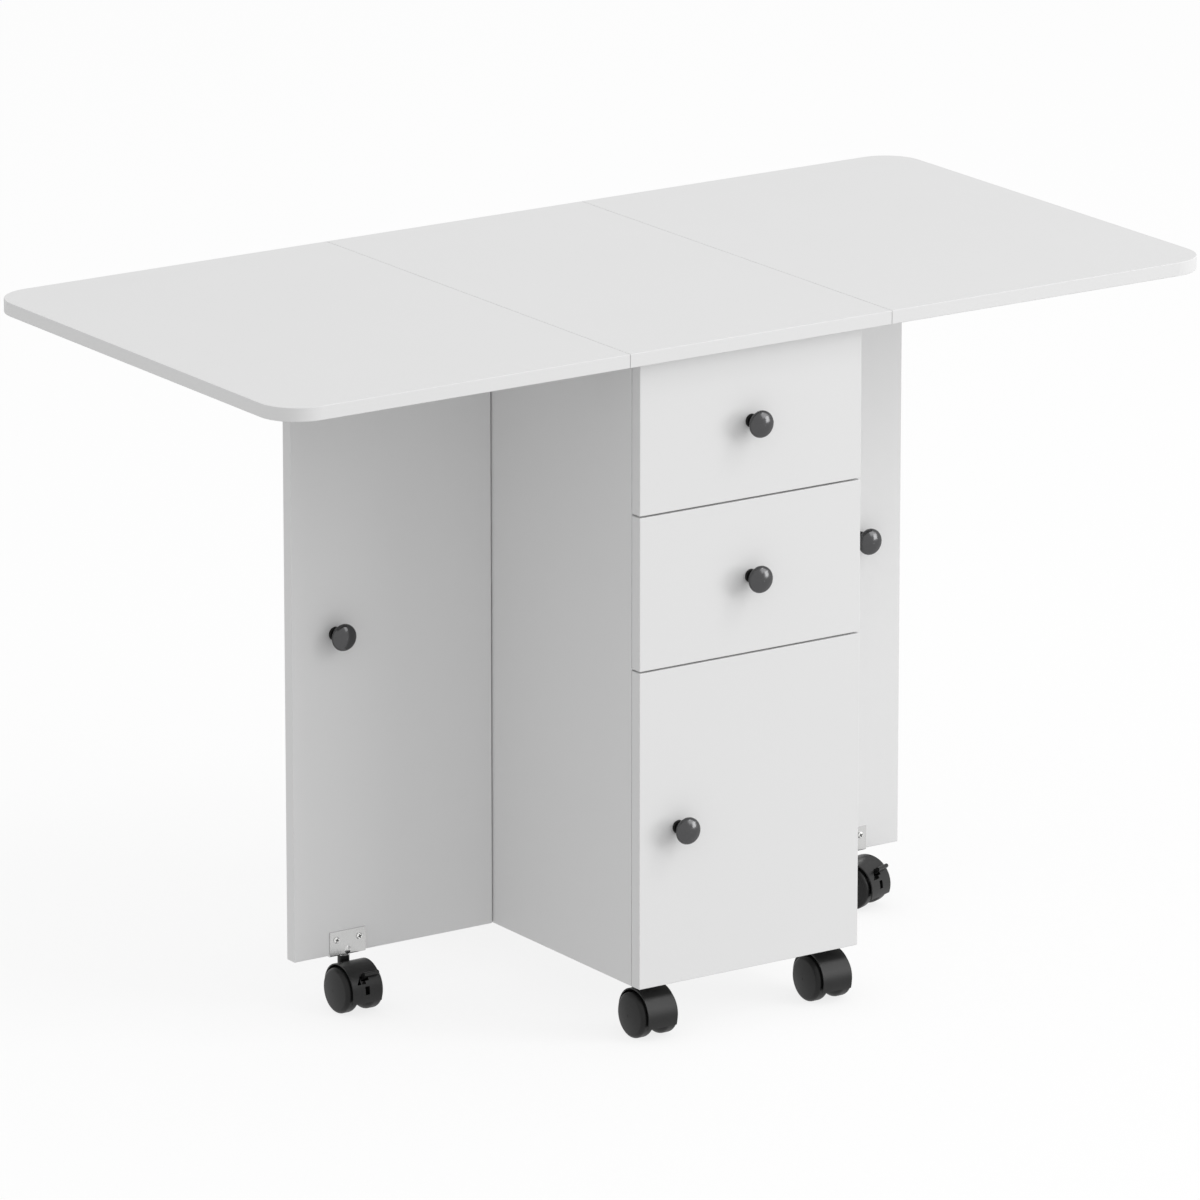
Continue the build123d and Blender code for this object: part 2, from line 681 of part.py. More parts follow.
def make_hood(braked):
    """The hood over both wheels, with its web, hub and boss; a braked one has two slots."""
    low, high = hood_front_angle, hood_back_angle
    reach = hood_radius * 2
    rim = [polar(hood_radius, low), polar(hood_radius, (low + high) / 2), polar(hood_radius, high)]
    outline = Line((0, 0), rim[0]) + ThreePointArc(*rim) + Line(rim[2], (0, 0))
    sector = axle_plane() * extrude(make_face(outline), hood_half_width, both=True)
    hood = sector + drum(hub_radius, hood_web_half)
    boss_bottom = wheel_radius + caster_trail / 2
    hood += rod((0, 0, boss_bottom), (0, 0, 1), boss_radius, boss_top - boss_bottom)
    well = wheel_radius + hood_wheel_gap
    depth = hood_half_width - hood_web_half
    for side in (-1, 1):
        middle = side * (hood_web_half + depth)
        hood -= Pos(middle, 0, 0) * drum(well, depth)
    hood -= drum(axle_radius, hood_half_width)
    hood -= rod((0, 0, stem_shoulder), (0, 0, 1), stem_radius, reach)
    hood -= rod((0, 0, stem_core_bottom), (0, 0, 1), stem_core_radius, reach)
    if braked:
        hood -= lever_slot()
        hood -= lever_pin()
        hood -= key_slot_cut()
        hood -= thumb_recess_cut()
    return hood


def lever_frame():
    """At the lever's pivot: x runs out from the axle, z along -X."""
    return axle_plane() * Rot(0, 0, lever_angle) * Pos(lever_pivot_radius, 0, 0)


def lever_slot():
    """The opening in the web and hood in which the lever's neck swings."""
    half = lever_neck_half + lever_slot_play
    thick = lever_thickness / 2 + lever_slot_play
    reach = lever_reach - lever_pivot_radius
    sweep = Circle(lever_eye_radius + lever_slot_play)
    for turn in (0, -lever_swing / 2, -lever_swing):
        sweep += Rot(0, 0, turn) * Pos(reach / 2, 0) * Rectangle(reach, 2 * thick)
    return lever_frame() * extrude(sweep, half, both=True)


def lever_pin():
    """The steel pin that the lever turns on."""
    return lever_frame() * Cylinder(lever_pin_radius, 2 * hood_web_half)


def key_slot_cut():
    """The small slot below the lever."""
    width, height, depth = key_slot
    cut = Box(2 * depth, height, width)
    return axle_plane() * Rot(0, 0, key_slot_angle) * Pos(hood_radius, 0, 0) * cut


def thumb_recess_cut():
    """The slanting opening beside the lever, where a thumb reaches under it."""
    low_left, high_left, right = thumb_recess
    half = thumb_recess_height / 2
    corners = [(-half, -low_left), (-half, -right), (half, -right), (half, -high_left)]
    place = axle_plane() * Rot(0, 0, thumb_recess_angle) * Pos(thumb_recess_floor, 0, 0)
    return place * extrude(Plane.YZ * make_face(Polyline(*corners, close=True)), hood_radius)


def make_lever():
    """The brake lever: an eye on the pin, a neck through the slot and a wing to one side."""
    out = lever_reach - lever_pivot_radius
    wing_in = lever_wing_start - lever_pivot_radius
    half = lever_thickness / 2
    neck = Circle(lever_eye_radius) + Pos(out / 2 - half / 2, 0) * Rectangle(out - half, 2 * half)
    neck += Pos(out - half, 0) * Circle(half)
    lever = extrude(neck, lever_neck_half, both=True)
    wing = Pos((wing_in + out - half) / 2, 0) * Rectangle(out - half - wing_in, 2 * half)
    wing += Pos(out - half, 0) * Circle(half)
    left, right = lever_wing_x
    lever += Pos(0, 0, -right) * extrude(wing, right - left)
    lever -= Cylinder(lever_pin_radius + pin_play, 4 * lever_neck_half)
    return lever_frame() * lever


def make_stem():
    """The steel stem: its shank turns above its collar, its core is pressed into the hood."""
    top = floor_clearance + stem_grip
    stem = rod((0, 0, stem_shoulder), (0, 0, 1), stem_radius, top - stem_shoulder)
    stem += rod((0, 0, boss_top), (0, 0, 1), stem_collar_radius, stem_collar_top - boss_top)
    return stem + rod(
        (0, 0, stem_core_bottom), (0, 0, 1), stem_core_radius, stem_shoulder - stem_core_bottom
    )


def make_casters():
    """Six twin-wheel casters; the two on the gate legs have brakes."""
    wheel = make_wheel()
    stem = make_stem()
    axle = drum(axle_radius, axle_half_length) - stem
    for name, (x, y) in stem_places.items():
        braked = "_leg_" in name
        place = Pos(x, y, 0) * Rot(0, 0, caster_headings[name])
        hood_pieces = [make_hood(braked), axle, stem]
        if braked:
            hood_pieces.append(lever_pin())
            side = name.rsplit("_", 1)[1]
            add(f"brake_lever_{side}", place * make_lever())
        add(f"{name}_hood", *[place * piece for piece in hood_pieces])
        add(f"{name}_wheel_left", place * wheel)
        add(f"{name}_wheel_right", place * wheel.mirror(Plane.YZ))


def make_sockets():
    """Steel sockets in the cabinet's bottom, in which the stems turn."""
    for x, y in socket_places():
        low = floor_clearance - socket_flange
        socket = rod((x, y, low), (0, 0, 1), socket_flange_radius, socket_flange)
        socket += rod((x, y, floor_clearance), (0, 0, 1), socket_radius, stem_grip + stem_end_room)
        socket -= rod((x, y, low), (0, 0, 1), stem_radius + stem_play, socket_flange + stem_grip)
        add("caster_sockets", socket)


make_top()
make_cabinet()
make_cupboard_fittings()
make_door()
make_drawer("drawer_lower", floor_clearance + door_height)
make_drawer("drawer_upper", floor_clearance + door_height + drawer_pitch)
make_leaf_hinges()
make_gate_hinges()
make_gate_leg()
make_sockets()
make_casters()

os.makedirs("parts", exist_ok=True)
for name, solids in nodes.items():
    whole = solids[0] if len(solids) == 1 else Compound(children=solids)
    export_step(whole, f"parts/{name}.step")
print(len(nodes), "nodes,", sum(len(solids) for solids in nodes.values()), "solids")
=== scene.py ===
import json
import math

import bmesh
import bpy
from mathutils import Matrix, Vector


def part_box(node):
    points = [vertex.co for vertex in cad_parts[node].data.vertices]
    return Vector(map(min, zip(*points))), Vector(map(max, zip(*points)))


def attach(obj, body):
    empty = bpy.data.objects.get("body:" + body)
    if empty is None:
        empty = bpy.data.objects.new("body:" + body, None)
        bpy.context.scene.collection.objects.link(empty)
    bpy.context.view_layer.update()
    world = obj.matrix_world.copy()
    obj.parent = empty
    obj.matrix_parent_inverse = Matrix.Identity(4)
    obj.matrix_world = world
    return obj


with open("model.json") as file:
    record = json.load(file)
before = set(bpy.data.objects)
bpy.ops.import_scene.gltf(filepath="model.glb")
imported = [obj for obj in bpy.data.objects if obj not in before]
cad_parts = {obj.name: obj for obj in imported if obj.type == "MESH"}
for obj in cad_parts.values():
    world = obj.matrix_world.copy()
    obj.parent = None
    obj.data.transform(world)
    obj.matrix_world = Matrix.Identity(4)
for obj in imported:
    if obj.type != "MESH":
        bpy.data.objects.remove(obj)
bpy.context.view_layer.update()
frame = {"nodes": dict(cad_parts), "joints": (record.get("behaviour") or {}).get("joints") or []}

# The finished look of a rolling drop-leaf table: white melamine boards, gunmetal knobs,
# zinc-plated fittings and black nylon twin-wheel casters. Lengths are in metres.
MM = 0.001

# The photograph's view
CAMERA_AZIMUTH = 33.771      # degrees to the left of the drawers' side
CAMERA_ELEVATION = 15.85
CAMERA_DISTANCE = 10.8664
CAMERA_AIM = (-0.00471, 0.00315, 0.4027)
CAMERA_LENS = 302.51         # millimetres, on a sensor as wide as CAMERA_SENSOR
CAMERA_SENSOR = 36.0

# Lamps: each one's azimuth to the right of the drawers' side and elevation in degrees, its
# distance and side, and its brightness, where 1 is white
SOFTBOXES = {
    "low_key": {"azimuth": 47.5, "elevation": 7.0, "distance": 9.0, "side": 3.0, "white": 5.8},
    "high_key": {"azimuth": 47.0, "elevation": 50.0, "distance": 9.0, "side": 1.5, "white": 8.0},
    "wide_fill": {"azimuth": 38.0, "elevation": 30.0, "distance": 9.0, "side": 4.5, "white": 2.3},
}
STUDIO_LIGHT = 0.805         # the pale studio's own light on the object
FLOOR_LIGHT = 0.46           # the light that the white floor adds to what it reflects
FLOOR_TONE = 0.12            # the share of light that the floor reflects
FLOOR_SHADE = 0.20           # how much of the object's shadow the camera sees on the floor
FLOOR_REACH = 20.0           # from the middle of the floor to its edges

# Sizes that the finish and the small fasteners need
BOARD = 15 * MM
FLAT = 0.9995                # a face's normal this near an axis is flat to it
HAIR = 0.01 * MM             # tells a face just beside a level from one that lies on it
KNOB_NECK_LENGTH = 13.4 * MM # out of the board, under the cap
# A bracket's screws: out and up from the top of the caster's stem, and the size of a head and
# of the cross in it
BRACKET_SCREW = {"out": 14.3 * MM, "up": 16.7 * MM, "radius": 3.55 * MM, "height": 0.69 * MM}
BRACKET_CROSS = {"reach": 2.45 * MM, "below": 0.1 * MM}
COLLAR_RADIUS = 6.25 * MM    # of the plated stem and collar that show under a board
COLLAR_DEPTH = 3.95 * MM
HINGE_SHEET = 1.5 * MM
RUNNER_SHEET = 1.2 * MM
# Hinges: a knuckle's radius, and where a plate's screws go, out from the pin and along it
GATE_HINGE = {
    "length": 75 * MM, "knuckle": 3.0 * MM,
    "screws_out": 15 * MM, "screws_along": (-26 * MM, 0, 26 * MM),
}
LEAF_HINGE = {
    "length": 60 * MM, "knuckle": 2.5 * MM,
    "screws_out": 12.5 * MM, "screws_along": (-19 * MM, 19 * MM),
}
DOOR_HINGE = {"knuckle": 2.5 * MM, "screws_out": 8 * MM, "screws_along": (-16 * MM, 16 * MM)}
DOOR_HINGE_FROM_END = 60 * MM        # a door hinge's middle, from the door's end
PLATE_SCREW = 3.2 * MM       # radii of the screws' heads
DOOR_SCREW = 2.4 * MM
HEAD_DOME = 0.14             # a head's rise and its cross, as shares of the head's radius
CROSS_REACH = 0.62
CROSS_HALF_WIDTH = 0.15
CROSS_DEPTH = 0.45
CROSS_BOTTOM_REACH = 0.7     # of the cross's bottom, as shares of those of its mouth
CROSS_BOTTOM_WIDTH = 0.6
SCREW_TURN = 1.9             # radians from one screw's cross to the next
SEGMENTS = 24                # corners of a small round piece
SHARP_ANGLE = 38             # degrees between faces, from which an edge stays sharp
CABINET_RUNNER_SCREW = 21 * MM       # above the drawer's lower edge
DRAWER_RUNNER_SCREW = 7 * MM
RUNNER_SCREW_FROM_END = 40 * MM
CATCH_SCREW_FROM_END = 6 * MM
CAM_RADIUS = 7.5 * MM
CAM_LIP = 0.25 * MM          # its face above the board
CAM_CROSS = 4.4 * MM
CAM_FROM_SIDE = 34 * MM      # from the cabinet's side
CAM_FROM_EDGE = 60 * MM      # from a level board's edge, and from a rail's
CAM_IN_RAIL = 30 * MM
BUMPER_RADIUS = 4 * MM
BUMPER_HEIGHT = 0.8 * MM
BUMPER_INSET = 7.5 * MM
BUMPER_SUNK = 0.1 * MM       # of its rim into the front

# Colours, linear
BOARD_WHITE = (0.768, 0.768, 0.768)
BAND_WHITE = (0.765, 0.765, 0.765)
SHEET_WHITE = (0.74, 0.74, 0.735)
EPOXY_WHITE = (0.72, 0.722, 0.72)
EPOXY_WORN = (0.6, 0.6, 0.58)
NYLON_WHITE = (0.70, 0.70, 0.69)
NYLON_WHITE_WORN = (0.75, 0.75, 0.73)
GUNMETAL = (0.088, 0.088, 0.090)
GUNMETAL_WORN = (0.22, 0.22, 0.23)
LACQUER_BLACK = (0.005, 0.005, 0.005)
LACQUER_WORN = (0.02, 0.02, 0.02)
ZINC = (0.60, 0.60, 0.595)
# A lighter copy of the zinc for the bracket's screw heads is a painted highlight; a dark copy for
# the crosses in them is a painted shade in the recess
PAINTED_HIGHLIGHT_ZINC = (0.80, 0.80, 0.79)
PAINTED_SHADE_ZINC = (0.13, 0.13, 0.128)
NYLON_BLACK = (0.008, 0.008, 0.008)
NYLON_BLACK_WORN = (0.05, 0.05, 0.05)
TREAD_BLACK = (0.006, 0.006, 0.006)
TREAD_WORN = (0.03, 0.03, 0.03)
DUST = (0.40, 0.395, 0.39)
WHITE = (1, 1, 1)


def put(tree, kind, inputs=None, **settings):
    """Adds a shader node. Each input is a plain value, or the socket that feeds it."""
    node = tree.nodes.new(kind)
    for name, value in settings.items():
        setattr(node, name, value)
    for name, value in (inputs or {}).items():
        if isinstance(value, bpy.types.NodeSocket):
            tree.links.new(value, node.inputs[name])
        else:
            node.inputs[name].default_value = value
    return node


def math_node(tree, operation, *values):
    """The result of a Math node."""
    return put(tree, "ShaderNodeMath", dict(enumerate(values)), operation=operation).outputs[0]


def blend_colours(tree, share, first, second):
    """A mix of two colours. The Mix node's sockets for colours have these numbers."""
    node = put(tree, "ShaderNodeMix", {0: share, 6: first, 7: second}, data_type="RGBA")
    return node.outputs[2]


def remap(tree, value, lowest, highest):
    """A value's place between two others, from 0 to 1."""
    inputs = {"Value": value, "From Min": lowest, "From Max": highest}
    return put(tree, "ShaderNodeMapRange", inputs).outputs["Result"]


def effect_group(name, inputs, outputs):
    """An empty shader node group. Inputs and outputs are given as name: (kind, default)."""
    tree = bpy.data.node_groups.new(name, "ShaderNodeTree")
    for direction, sockets in (("INPUT", inputs), ("OUTPUT", outputs)):
        for label, (kind, default) in sockets.items():
            kind = f"NodeSocket{kind}"
            socket = tree.interface.new_socket(label, in_out=direction, socket_type=kind)
            if direction == "INPUT":
                socket.default_value = default
    return tree, tree.nodes.new("NodeGroupInput").outputs, tree.nodes.new("NodeGroupOutput").inputs


def noise_at(tree, size, detail=2.0, stretch=None):
    """Noise whose features are about as large as size, in the object's own coordinates."""
    place = put(tree, "ShaderNodeTexCoord").outputs["Object"]
    if stretch is not None:
        stretched = put(tree, "ShaderNodeVectorMath", {0: place, 1: stretch}, operation="MULTIPLY")
        place = stretched.outputs[0]
    scale = math_node(tree, "DIVIDE", 1.0, size)
    noise = put(tree, "ShaderNodeTexNoise", {"Vector": place, "Scale": scale, "Detail": detail})
    return noise.outputs["Fac"]


def make_fine_grain():
    """A fine moulded or pressed grain: a height, and the gloss that varies with it."""
    tree, given, out = effect_group(
        "fine_grain",
        {
            "Grain Size": ("Float", 0.0008),
            "Roughness": ("Float", 0.4),
            "Gloss Spread": ("Float", 0.05),
        },
        {"Height": ("Float", 0.0), "Roughness": ("Float", 0.4)},
    )
    grain = noise_at(tree, given["Grain Size"], 3.0)
    wide = noise_at(tree, math_node(tree, "MULTIPLY", given["Grain Size"], 60.0))
    centred = math_node(tree, "SUBTRACT", wide, 0.5)
    spread = math_node(tree, "MULTIPLY", centred, given["Gloss Spread"])
    tree.links.new(grain, out["Height"])
    tree.links.new(math_node(tree, "ADD", given["Roughness"], spread), out["Roughness"])
    return tree


def make_tone_drift():
    """A slow, slight change of a colour's lightness over the surface."""
    tree, given, out = effect_group(
        "tone_drift",
        {
            "Color": ("Color", (0.8, 0.8, 0.8, 1)),
            "Amount": ("Float", 0.02),
            "Patch Size": ("Float", 0.2),
        },
        {"Color": ("Color", None)},
    )
    patches = noise_at(tree, given["Patch Size"], 3.0)
    centred = math_node(tree, "SUBTRACT", patches, 0.5)
    lightness = math_node(tree, "MULTIPLY_ADD", centred, given["Amount"], 1.0)
    drifted = put(tree, "ShaderNodeHueSaturation", {"Color": given["Color"], "Value": lightness})
    tree.links.new(drifted.outputs["Color"], out["Color"])
    return tree


def make_edge_wear_and_sheen():
    """A mask along a piece's edges, broken up as rubbing breaks it: it places rubbed wear, and on
    the boards a painted sheen.
    """
    tree, given, out = effect_group(
        "edge_wear_and_sheen",
        {
            "Width": ("Float", 0.0006),
            "Amount": ("Float", 0.5),
            "Breakup Size": ("Float", 0.004),
        },
        {"Mask": ("Float", 0.0)},
    )
    rounded = put(tree, "ShaderNodeBevel", {"Radius": given["Width"]}, samples=4).outputs["Normal"]
    flat = put(tree, "ShaderNodeNewGeometry").outputs["Normal"]
    alike = put(tree, "ShaderNodeVectorMath", {0: rounded, 1: flat}, operation="DOT_PRODUCT")
    edge = remap(tree, alike.outputs["Value"], 0.995, 0.85)
    breakup = noise_at(tree, given["Breakup Size"], 4.0)
    mask = math_node(tree, "MULTIPLY", edge, remap(tree, breakup, 0.35, 0.6))
    tree.links.new(math_node(tree, "MULTIPLY", mask, given["Amount"]), out["Mask"])
    return tree


def make_settled_dust():
    """A mask of fine dust on faces that look up."""
    tree, given, out = effect_group(
        "settled_dust",
        {"Amount": ("Float", 0.1), "Patch Size": ("Float", 0.01)},
        {"Mask": ("Float", 0.0)},
    )
    normal = put(tree, "ShaderNodeNewGeometry").outputs["Normal"]
    height = put(tree, "ShaderNodeSeparateXYZ", {"Vector": normal}).outputs["Z"]
    patches = noise_at(tree, given["Patch Size"], 5.0)
    share = math_node(tree, "MULTIPLY", remap(tree, height, 0.2, 0.95), patches)
    tree.links.new(math_node(tree, "MULTIPLY", share, given["Amount"]), out["Mask"])
    return tree


def make_plating():
    """Zinc plating: soft clouds in lightness and gloss, and the fine lines of drawn sheet."""
    tree, given, out = effect_group(
        "plating",
        {
            "Color": ("Color", (0.6, 0.6, 0.6, 1)),
            "Patch Size": ("Float", 0.008),
            "Contrast": ("Float", 0.1),
            "Roughness": ("Float", 0.3),
        },
        {"Color": ("Color", None), "Roughness": ("Float", 0.3), "Height": ("Float", 0.0)},
    )
    clouds = noise_at(tree, given["Patch Size"], 4.0)
    centred = math_node(tree, "SUBTRACT", clouds, 0.5)
    lightness = math_node(tree, "MULTIPLY_ADD", centred, given["Contrast"], 1.0)
    plated = put(tree, "ShaderNodeHueSaturation", {"Color": given["Color"], "Value": lightness})
    lines = noise_at(tree, 0.0004, stretch=(1.0, 1.0, 0.06))
    rough = math_node(tree, "MULTIPLY_ADD", centred, given["Contrast"], given["Roughness"])
    tree.links.new(plated.outputs["Color"], out["Color"])
    tree.links.new(rough, out["Roughness"])
    tree.links.new(lines, out["Height"])
    return tree


EFFECTS = {
    "fine_grain": make_fine_grain(),
    "tone_drift": make_tone_drift(),
    "edge_wear_and_sheen": make_edge_wear_and_sheen(),
    "settled_dust": make_settled_dust(),
    "plating": make_plating(),
}


def effect(tree, name, **inputs):
    """Places a shared effect in a material. Input names use _ for a space."""
    node = tree.nodes.new("ShaderNodeGroup")
    node.node_tree = EFFECTS[name]
    node.name = name
    for label, value in inputs.items():
        socket = node.inputs[label.replace("_", " ")]
        if isinstance(value, bpy.types.NodeSocket):
            tree.links.new(value, socket)
        else:
            socket.default_value = value
    return node.outputs


def rgba(colour):
    """A colour as a socket takes it, opaque."""
    return (*colour, 1.0)


def new_material(name):
    """An empty node material and its Principled shader."""
    material = bpy.data.materials.new(name)
    material.use_nodes = True
    tree = material.node_tree
    tree.nodes.clear()
    shader = tree.nodes.new("ShaderNodeBsdfPrincipled")
    put(tree, "ShaderNodeOutputMaterial", {"Surface": shader.outputs["BSDF"]})
    return material, tree, shader


def feed(tree, shader, colour, roughness, height, depth):
    """Connects a surface's colour, roughness and relief, which is depth metres high."""
    tree.links.new(colour, shader.inputs["Base Color"])
    tree.links.new(roughness, shader.inputs["Roughness"])
    bump = put(tree, "ShaderNodeBump", {"Height": height, "Distance": depth, "Strength": 1.0})
    tree.links.new(bump.outputs["Normal"], shader.inputs["Normal"])


def pressed_board(name, colour, grain_size, roughness, relief):
    """Melamine or hardboard: an even tone, a fine pressed grain, and edges painted slightly
    lighter, a painted sheen along the arrises.
    """
    material, tree, shader = new_material(name)
    tone = effect(tree, "tone_drift", Color=rgba(colour), Amount=0.012, Patch_Size=0.16)
    # The edge mask paints the board's edges a little lighter: a painted sheen along the arrises
    rubbed = effect(tree, "edge_wear_and_sheen", Width=0.0008, Amount=0.25, Breakup_Size=0.02)
    lighter = rgba([min(0.85, 1.05 * value) for value in colour])
    grain = effect(
        tree, "fine_grain", Grain_Size=grain_size, Roughness=roughness, Gloss_Spread=0.08
    )
    # The board's tone with the painted sheen along its edges
    finish = blend_colours(tree, rubbed["Mask"], tone["Color"], lighter)
    feed(tree, shader, finish, grain["Roughness"], grain["Height"], relief)
    shader.inputs["IOR"].default_value = 1.5
    return material


def plated_steel(name, colour, roughness):
    """Bright zinc plating over sheet and rod."""
    material, tree, shader = new_material(name)
    plating = effect(
        tree, "plating", Color=rgba(colour), Patch_Size=0.014, Contrast=0.07, Roughness=roughness
    )
    rubbed = effect(tree, "edge_wear_and_sheen", Width=0.0003, Amount=0.5, Breakup_Size=0.003)
    bright = rgba([min(0.9, 1.25 * value) for value in colour])
    finish = blend_colours(tree, rubbed["Mask"], plating["Color"], bright)
    feed(tree, shader, finish, plating["Roughness"], plating["Height"], depth=1e-6)
    shader.inputs["Metallic"].default_value = 1.0
    return material


def lacquered_metal(name, colour, worn_colour, roughness, metallic, ior):
    """Lacquer on metal: fine flake, an orange-peel skin and rims rubbed brighter."""
    material, tree, shader = new_material(name)
    tone = effect(tree, "tone_drift", Color=rgba(colour), Amount=0.10, Patch_Size=0.006)
    rubbed = effect(tree, "edge_wear_and_sheen", Width=0.0008, Amount=0.35, Breakup_Size=0.003)
    peel = effect(
        tree, "fine_grain", Grain_Size=0.0006, Roughness=roughness, Gloss_Spread=0.06
    )
    finish = blend_colours(tree, rubbed["Mask"], tone["Color"], rgba(worn_colour))
    feed(tree, shader, finish, peel["Roughness"], peel["Height"], depth=4e-6)
    shader.inputs["Metallic"].default_value = metallic
    shader.inputs["IOR"].default_value = ior
    return material


def moulded_plastic(name, colour, worn_colour, roughness, dust, ior):
    """Moulded nylon: spark-eroded grain, edges scuffed lighter and a little settled dust."""
    material, tree, shader = new_material(name)
    tone = effect(tree, "tone_drift", Color=rgba(colour), Amount=0.12, Patch_Size=0.012)
    scuffed = effect(tree, "edge_wear_and_sheen", Width=0.0006, Amount=0.3, Breakup_Size=0.004)
    worn = blend_colours(tree, scuffed["Mask"], tone["Color"], rgba(worn_colour))
    dusty = effect(tree, "settled_dust", Amount=dust, Patch_Size=0.006)
    grain = effect(
        tree, "fine_grain", Grain_Size=0.0004, Roughness=roughness, Gloss_Spread=0.10
    )
    finish = blend_colours(tree, dusty["Mask"], worn, rgba(DUST))
    feed(tree, shader, finish, grain["Roughness"], grain["Height"], depth=8e-6)
    shader.inputs["IOR"].default_value = ior
    return material


MATERIALS = {
    "melamine_face": pressed_board(
        "melamine_face", BOARD_WHITE, grain_size=0.0010, roughness=0.62, relief=4e-6
    ),
    "edge_band": pressed_board(
        "edge_band", BAND_WHITE, grain_size=0.0016, roughness=0.55, relief=3e-6
    ),
    "hardboard_white": pressed_board(
        "hardboard_white", SHEET_WHITE, grain_size=0.0006, roughness=0.5, relief=8e-6
    ),
    "gunmetal_lacquer": lacquered_metal(
        "gunmetal_lacquer", GUNMETAL, GUNMETAL_WORN, roughness=0.19, metallic=1.0, ior=1.5
    ),
    "black_lacquer": lacquered_metal(
        "black_lacquer", LACQUER_BLACK, LACQUER_WORN, roughness=0.4, metallic=0.0, ior=1.28
    ),
    "epoxy_white": lacquered_metal(
        "epoxy_white", EPOXY_WHITE, EPOXY_WORN, roughness=0.38, metallic=0.0, ior=1.5
    ),
    "zinc_plate": plated_steel("zinc_plate", ZINC, roughness=0.24),
    # Lighter and dark copies of the plating for the bracket's screws: a painted highlight on the
    # heads, a painted shade in their crosses
    "painted_highlight_zinc": plated_steel("painted_highlight_zinc", PAINTED_HIGHLIGHT_ZINC, roughness=0.16),
    "painted_shade_zinc": plated_steel("painted_shade_zinc", PAINTED_SHADE_ZINC, roughness=0.45),
    "nylon_white": moulded_plastic(
        "nylon_white", NYLON_WHITE, NYLON_WHITE_WORN, roughness=0.45, dust=0.0, ior=1.5
    ),
    "nylon_black": moulded_plastic(
        "nylon_black", NYLON_BLACK, NYLON_BLACK_WORN, roughness=0.36, dust=0.010, ior=1.40
    ),
    "tread_black": moulded_plastic(
        "tread_black", TREAD_BLACK, TREAD_WORN, roughness=0.40, dust=0.010, ior=1.36
    ),
}


def dress(node, *names):
    """Gives a CAD node its materials, in slot order, and puts every face in the first."""
    mesh = frame["nodes"][node].data
    mesh.materials.clear()
    for name in names:
        mesh.materials.append(MATERIALS[name])
    mesh.polygons.foreach_set("material_index", [0] * len(mesh.polygons))
    return mesh


def assign(mesh, chosen, slot):
    """Moves the polygons that chosen() picks by centre and normal to a material slot."""
    for polygon in mesh.polygons:
        if chosen(polygon.center, polygon.normal):
            polygon.material_index = slot


def dress_board(node):
    """Melamine on a board's two faces, edge band round its sides and roundings."""
    low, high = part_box(node)
    size = high - low
    thin = min(range(3), key=lambda axis: size[axis])
    mesh = dress(node, "melamine_face", "edge_band")
    assign(mesh, lambda centre, normal: abs(normal[thin]) < FLAT, 1)


BOARDS = [
    "top_centre_panel", "leaf_left", "leaf_right", "cabinet_side_left", "cabinet_side_right",
    "cabinet_back", "cabinet_bottom", "cabinet_divider", "door_panel", "drawer_upper_front",
    "drawer_lower_front", "gate_leg_left", "gate_leg_right",
]


def dress_boards():
    """Boards, drawer boxes, rails and the shelf, whose pegs are plated."""
    for node in BOARDS:
        dress_board(node)
    for node in ("drawer_upper_box", "drawer_lower_box"):
        mesh = dress(node, "melamine_face", "edge_band")
        assign(mesh, lambda centre, normal: abs(normal.z) > FLAT, 1)
    for node in ("drawer_upper_bottom", "drawer_lower_bottom"):
        dress(node, "hardboard_white")
    mesh = dress("top_rails", "melamine_face", "edge_band")
    assign(mesh, lambda centre, normal: abs(normal.z) < FLAT, 1)
    shelf = dress("cupboard_shelf", "melamine_face", "edge_band", "zinc_plate")
    assign(shelf, lambda centre, normal: abs(normal.z) < FLAT, 1)
    shelf_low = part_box("cupboard_shelf")[1].z - BOARD
    assign(shelf, lambda centre, normal: centre.z < shelf_low - HAIR, 2)


def dress_knob(node, board_node):
    """A gunmetal cap on a black neck and foot, and the plated screw through the board."""
    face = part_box(board_node)[0].y
    mesh = dress(node, "gunmetal_lacquer", "black_lacquer", "zinc_plate")
    assign(mesh, lambda centre, normal: face - centre.y < KNOB_NECK_LENGTH, 1)
    assign(mesh, lambda centre, normal: face - centre.y < 0, 2)


KNOBS = {
    "drawer_upper_knob": "drawer_upper_front",
    "drawer_lower_knob": "drawer_lower_front",
    "door_knob": "door_panel",
    "leg_knob_left": "gate_leg_left",
    "leg_knob_right": "gate_leg_right",
}


def joint_place(name):
    """A point on a joint's axis; on a caster's, where its stem meets the board above it."""
    return Vector(next(j["pos_m"] for j in frame["joints"] if j["name"] == name))


def dress_caster(caster):
    """Black nylon hood and wheels, and a plated stem."""
    stem = joint_place(f"{caster}_swivel")
    hood = dress(f"{caster}_hood", "nylon_black", "zinc_plate")

    def on_stem(centre, normal):
        across = math.hypot(centre.x - stem.x, centre.y - stem.y)
        return across < COLLAR_RADIUS and centre.z > stem.z - COLLAR_DEPTH

    assign(hood, on_stem, 1)
    for side in ("left", "right"):
        dress(f"{caster}_wheel_{side}", "tread_black")


CASTERS = [node.removesuffix("_hood") for node in frame["nodes"] if node.endswith("_hood")]


def dress_fittings():
    """Plated steel, white epoxy and nylon for the hinges, runners and small fittings."""
    for node in frame["nodes"]:
        if "hinge" in node or node == "caster_sockets":
            dress(node, "zinc_plate")
        elif "runners" in node:
            dress(node, "epoxy_white")
        elif "glide" in node or node == "door_catch":
            dress(node, "nylon_white")
        elif "lever" in node:
            dress(node, "nylon_black")


